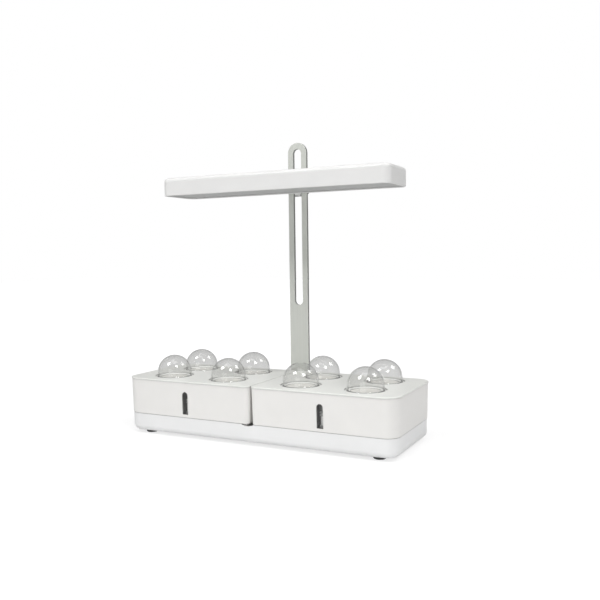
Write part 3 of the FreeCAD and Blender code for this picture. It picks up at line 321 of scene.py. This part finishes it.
def frosted_panel(name, colour):
    """Frosted light panel with faint mottling and a very fine grain."""
    shader = Shader(name)
    sockets = shader.principled.inputs
    shader.set(Subsurface_Weight=0.15, Subsurface_Radius=(0.002, 0.002, 0.002))
    pale = [min(part * 1.04, 1.0) for part in colour]
    shader.link(shader.blend(shader.noise(50, 3), colour, pale), sockets["Base Color"])
    shader.link(shader.remap(shader.noise(400, 2), 0.45, 0.6), sockets["Roughness"])
    shader.bump(shader.noise(3200, 1), 0.00003)
    return shader.material


def paint(material, *names):
    for name in names:
        for slot in NODES[name].material_slots:
            slot.material = material


WHITE_TANK = (0.830, 0.820, 0.800)
WHITE_LID = (0.800, 0.805, 0.775)
WHITE_LAMP = (0.790, 0.788, 0.780)
WHITE_BASE = (0.845, 0.848, 0.848)
POST_GREY = (0.625, 0.64, 0.60)
# Painted shade for the post's left and right sides.
POST_SIDE_SHADE_GREY = (0.24, 0.245, 0.235)

tank_white = moulded_plastic("tank_white", WHITE_TANK, 0.42)
lid_white = moulded_plastic("lid_white", WHITE_LID, 0.45)
base_white = moulded_plastic("base_white", WHITE_BASE, 0.40)
lamp_white = moulded_plastic("lamp_white", WHITE_LAMP, 0.38)
basket_white = moulded_plastic("basket_white", WHITE_LID, 0.40)
# Painted shade: the float guide is dark grey to stand for the unlit inside of the tank behind
# the window.
guide_painted_shade = moulded_plastic("guide_painted_shade", (0.17, 0.168, 0.16), 0.45)
float_white = moulded_plastic("float_white", (0.86, 0.86, 0.84), 0.5)
knob_dark = moulded_plastic("knob_dark", (0.035, 0.035, 0.037), 0.5, grain=0.00006, worn=1.8)
inlet_dark = moulded_plastic("inlet_dark", (0.02, 0.02, 0.02), 0.3, worn=1.8)
slider_white = moulded_plastic("slider_white", (0.80, 0.80, 0.79), 0.5)
board_white = moulded_plastic("board_white", (0.80, 0.80, 0.78), 0.3)
board_green = moulded_plastic("board_green", (0.02, 0.12, 0.04), 0.3)
post_metal = coated_metal("post_metal", POST_GREY, POST_SIDE_SHADE_GREY, 0.38)
screw_metal = bare_metal("screw_metal", (0.55, 0.55, 0.54), 0.3)
plate_metal = bare_metal("plate_metal", (0.60, 0.60, 0.61), 0.4, (0.02, 1, 1))
clamp_metal = bare_metal("clamp_metal", (0.58, 0.58, 0.57), 0.32, (1, 1, 0.03))
brass = bare_metal("brass", (0.60, 0.42, 0.16), 0.28)
foot_rubber = soft_rubber("foot_rubber", (0.06, 0.06, 0.06), 0.75)
gasket_rubber = soft_rubber("gasket_rubber", (0.03, 0.03, 0.03), 0.6)
dome_clear = clear_shell("dome_clear", (0.946, 0.946, 0.943), (0.60, 0.60, 0.59))
window_clear = clear_shell("window_clear", (0.90, 0.905, 0.90), (0.60, 0.60, 0.59))
# Painted shade: the diffuser's grey is darkened to the shade on the lamp's underside.
panel_painted_shade = frosted_panel("panel_painted_shade", (0.40, 0.405, 0.40))
foam_pale = open_foam("foam_pale", (0.80, 0.79, 0.75))

paint(base_white, "base_tray")
paint(foot_rubber, "rubber_feet")
paint(post_metal, "light_post")
paint(screw_metal, "post_screws", "plate_screws", "bracket_screws", "clamp_bolt")
paint(lamp_white, "lamp_housing", "lamp_bracket", "timer_button")
paint(panel_painted_shade, "lamp_diffuser")
paint(plate_metal, "heat_plate")
paint(board_white, "led_boards")
paint(board_green, "timer_board")
paint(inlet_dark, "dc_inlet")
paint(slider_white, "slot_slider")
paint(clamp_metal, "clamp_plate")
paint(knob_dark, "clamp_knob")
paint(brass, "knob_insert")
for word in SIDES:
    paint(tank_white, f"tank_shell_{word}")
    paint(lid_white, f"tank_lid_{word}")
    paint(window_clear, f"level_window_{word}")
    paint(gasket_rubber, f"window_gasket_{word}")
    paint(guide_painted_shade, f"float_guide_{word}")
    paint(screw_metal, f"float_rod_{word}")
    paint(float_white, f"level_float_{word}")
for pod in PODS:
    paint(basket_white, f"basket_{pod}")


# Lathe pieces
def lathe(name, profile, segments, material):
    """Mesh turned about Z from (radius, z) points; a radius of 0 makes a pole."""
    mesh = bmesh.new()
    rings = []
    for radius, z in profile:
        if radius == 0:
            rings.append([mesh.verts.new((0, 0, z))])
            continue
        ring = []
        for step in range(segments):
            angle = 2 * math.pi * step / segments
            ring.append(mesh.verts.new((radius * math.cos(angle), radius * math.sin(angle), z)))
        rings.append(ring)
    for low, high in zip(rings, rings[1:]):
        for step in range(segments):
            after = (step + 1) % segments
            if len(low) == 1:
                mesh.faces.new((low[0], high[step], high[after]))
            elif len(high) == 1:
                mesh.faces.new((low[after], low[step], high[0]))
            else:
                mesh.faces.new((low[step], high[step], high[after], low[after]))
    bmesh.ops.recalc_face_normals(mesh, faces=mesh.faces)
    data = bpy.data.meshes.new(name)
    mesh.to_mesh(data)
    mesh.free()
    for polygon in data.polygons:
        polygon.use_smooth = True
    data.materials.append(material)
    piece = bpy.data.objects.new(name, data)
    bpy.context.scene.collection.objects.link(piece)
    return piece


def foot_and_height(name):
    """Middle of the node's underside, and its height."""
    low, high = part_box(name)
    return Vector(((low.x + high.x) / 2, (low.y + high.y) / 2, low.z)), high.z - low.z


def dome_profile(height):
    """Inner wall from the pole down, round the rim, and outer wall back up."""
    centre = height - DOME_RADIUS
    inner = DOME_RADIUS - DOME_WALL
    outer_arc = []
    inner_arc = []
    for step in range(DOME_RINGS + 1):
        angle = math.pi / 2 * step / DOME_RINGS
        across, up = math.cos(angle), math.sin(angle)
        outer_arc.append((DOME_RADIUS * across, centre + DOME_RADIUS * up))
        inner_arc.append((inner * across, centre + inner * up))
    outer_arc[-1] = (0, centre + DOME_RADIUS)
    inner_arc[-1] = (0, centre + inner)
    skirt = [
        (inner, DOME_ROUNDING),
        (inner + DOME_ROUNDING, 0),
        (DOME_RIM_RADIUS - DOME_ROUNDING, 0),
        (DOME_RIM_RADIUS, DOME_ROUNDING),
        (DOME_RIM_RADIUS, DOME_RIM_HEIGHT - DOME_ROUNDING),
        (DOME_RIM_RADIUS - DOME_ROUNDING, DOME_RIM_HEIGHT),
        (DOME_RADIUS, DOME_RIM_HEIGHT + DOME_ROUNDING),
    ]
    return inner_arc[::-1] + skirt + outer_arc


def sponge_profile(low_radius, high_radius, top):
    """Tapered plug from the underside's middle to the dimple in its top."""
    return [
        (0, 0),
        (low_radius - SPONGE_EDGE, 0),
        (low_radius, SPONGE_EDGE),
        (high_radius, top - 2 * SPONGE_EDGE),
        (high_radius - SPONGE_EDGE / 2, top - SPONGE_EDGE / 2),
        (high_radius - 2 * SPONGE_EDGE, top),
        (SPONGE_DIMPLE_RADIUS + SPONGE_EDGE, top),
        (SPONGE_DIMPLE_RADIUS, top - SPONGE_EDGE),
        (0, top - SPONGE_DIMPLE_DEPTH),
    ]


for pod in PODS:
    place, height = foot_and_height(f"dome_{pod}")
    cover = lathe(f"clear_dome_{pod}", dome_profile(height), DOME_SEGMENTS, dome_clear)
    cover.location = place
    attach(cover, f"cover_{pod}")
    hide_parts(f"dome_{pod}")

    place, height = foot_and_height(f"grow_sponge_{pod}")
    low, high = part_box(f"grow_sponge_{pod}")
    top_radius = (high.x - low.x) / 2
    profile = sponge_profile(top_radius - SPONGE_TAPER, top_radius, height)
    plug = lathe(f"foam_plug_{pod}", profile, SPONGE_SEGMENTS, foam_pale)
    plug.location = place
    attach(plug, f"pod_{pod}")
    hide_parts(f"grow_sponge_{pod}")


# Floor, world, lights and camera
def studio_floor():
    """Pale floor that bounces light and looks white but for the object's shadow."""
    data = bpy.data.meshes.new("floor")
    corners = [(-FLOOR_HALF, -FLOOR_HALF, 0), (FLOOR_HALF, -FLOOR_HALF, 0)]
    corners += [(FLOOR_HALF, FLOOR_HALF, 0), (-FLOOR_HALF, FLOOR_HALF, 0)]
    data.from_pydata(corners, [], [(0, 1, 2, 3)])
    floor = bpy.data.objects.new("floor", data)
    bpy.context.scene.collection.objects.link(floor)
    shader = Shader("floor_pale")
    shader.set(Roughness=0.9, Specular_IOR_Level=0.0)
    rays = shader.add("ShaderNodeLightPath")
    seen = rays.outputs["Is Camera Ray"]
    lit = shader.blend(seen, (FLOOR_COLOUR,) * 3, (FLOOR_SEEN_COLOUR,) * 3)
    shader.link(lit, shader.principled.inputs["Base Color"])
    glow = shader.add("ShaderNodeEmission")
    glow.inputs["Color"].default_value = (1.0, 1.0, 1.0, 1.0)
    reach = shader.add("ShaderNodeVectorMath", operation="LENGTH")
    shader.link(shader.place, reach.inputs[0])
    level = shader.remap(reach.outputs["Value"], FLOOR_GLOW, 1.0, GLOW_NEAR, GLOW_FAR)
    strength = shader.add("ShaderNodeMath", operation="MULTIPLY")
    shader.link(level, strength.inputs[0])
    shader.link(seen, strength.inputs[1])
    shader.link(strength.outputs["Value"], glow.inputs["Strength"])
    both = shader.add("ShaderNodeAddShader")
    shader.link(shader.principled.outputs["BSDF"], both.inputs[0])
    shader.link(glow.outputs["Emission"], both.inputs[1])
    shader.link(both.outputs["Shader"], shader.output.inputs["Surface"])
    data.materials.append(shader.material)


def soft_light(name, place, target, size, power, spin=0.0, mirrored=True):
    """Square light aimed at the target; mirrored says if gloss reflects it."""
    data = bpy.data.lights.new(name, "AREA")
    data.shape = "SQUARE"
    data.size = size
    data.energy = power
    light = bpy.data.objects.new(name, data)
    aim = (Vector(target) - Vector(place)).to_track_quat("-Z", "Y").to_matrix().to_4x4()
    light.matrix_world = Matrix.Translation(place) @ aim @ Matrix.Rotation(spin, 4, "Z")
    light.visible_glossy = mirrored
    bpy.context.scene.collection.objects.link(light)


def white_world():
    """White to the camera, greyer through clear walls and dim to all other rays."""
    world = bpy.data.worlds.new("studio")
    world.use_nodes = True
    tree = world.node_tree
    back = tree.nodes["Background"]
    back.inputs["Color"].default_value = (1.0, 1.0, 1.0, 1.0)
    rays = tree.nodes.new("ShaderNodeLightPath")
    looked = tree.nodes.new("ShaderNodeMath")
    looked.operation = "LESS_THAN"
    looked.inputs[1].default_value = 0.5
    tree.links.new(rays.outputs["Diffuse Depth"], looked.inputs[0])
    clear = tree.nodes.new("ShaderNodeMath")
    clear.operation = "MULTIPLY"
    tree.links.new(looked.outputs["Value"], clear.inputs[0])
    tree.links.new(rays.outputs["Is Transmission Ray"], clear.inputs[1])
    unseen = tree.nodes.new("ShaderNodeMapRange")
    unseen.inputs["To Min"].default_value = AMBIENT_LEVEL
    unseen.inputs["To Max"].default_value = CLEAR_WALL_LEVEL
    tree.links.new(clear.outputs["Value"], unseen.inputs["Value"])
    level = tree.nodes.new("ShaderNodeMapRange")
    level.inputs["To Max"].default_value = 1.0
    tree.links.new(unseen.outputs["Result"], level.inputs["To Min"])
    tree.links.new(rays.outputs["Is Camera Ray"], level.inputs["Value"])
    tree.links.new(level.outputs["Result"], back.inputs["Strength"])
    bpy.context.scene.world = world


def photo_camera():
    data = bpy.data.cameras.new("photo_camera")
    data.sensor_width = SENSOR_WIDTH
    data.lens = SENSOR_WIDTH * FOCAL_PIXELS / IMAGE_SIZE
    data.clip_end = 50.0
    camera = bpy.data.objects.new("photo_camera", data)
    ahead = Vector((
        -math.sin(CAMERA_YAW) * math.cos(CAMERA_PITCH),
        math.cos(CAMERA_YAW) * math.cos(CAMERA_PITCH),
        math.sin(CAMERA_PITCH),
    ))
    level = Vector((math.cos(CAMERA_YAW), math.sin(CAMERA_YAW), 0))
    upward = level.cross(ahead)
    right = level * math.cos(CAMERA_ROLL) + upward * math.sin(CAMERA_ROLL)
    up = upward * math.cos(CAMERA_ROLL) - level * math.sin(CAMERA_ROLL)
    axes = Matrix((right, up, -ahead)).transposed().to_4x4()
    camera.matrix_world = Matrix.Translation(CAMERA_PLACE) @ axes
    bpy.context.scene.collection.objects.link(camera)
    bpy.context.scene.camera = camera


studio_floor()
white_world()
soft_light("softbox_left", (-1.18, -1.80, 2.76), LID_AIM, SOFTBOX_SIZE, 35.0, SOFTBOX_TURN)
soft_light("softbox_right", (1.88, -1.52, 2.50), LID_AIM, SOFTBOX_SIZE, 35.0, SOFTBOX_TURN)
soft_light("softbox_back", (1.98, 1.28, 2.56), LID_AIM, SOFTBOX_SIZE, 24.0, SOFTBOX_TURN)
soft_light("broad_front", (0.2, -4.0, 0.7), FRONT_AIM, BROAD_SIZE, 42.0, mirrored=False)
soft_light("broad_right", (4.0, -0.4, 0.8), SIDE_AIM, BROAD_SIDE_SIZE, 6.0, mirrored=False)
soft_light("broad_top", (0.0, -0.4, 3.8), LID_AIM, BROAD_SIZE, 56.0, mirrored=False)
photo_camera()
bpy.context.scene.view_settings.view_transform = "Standard"
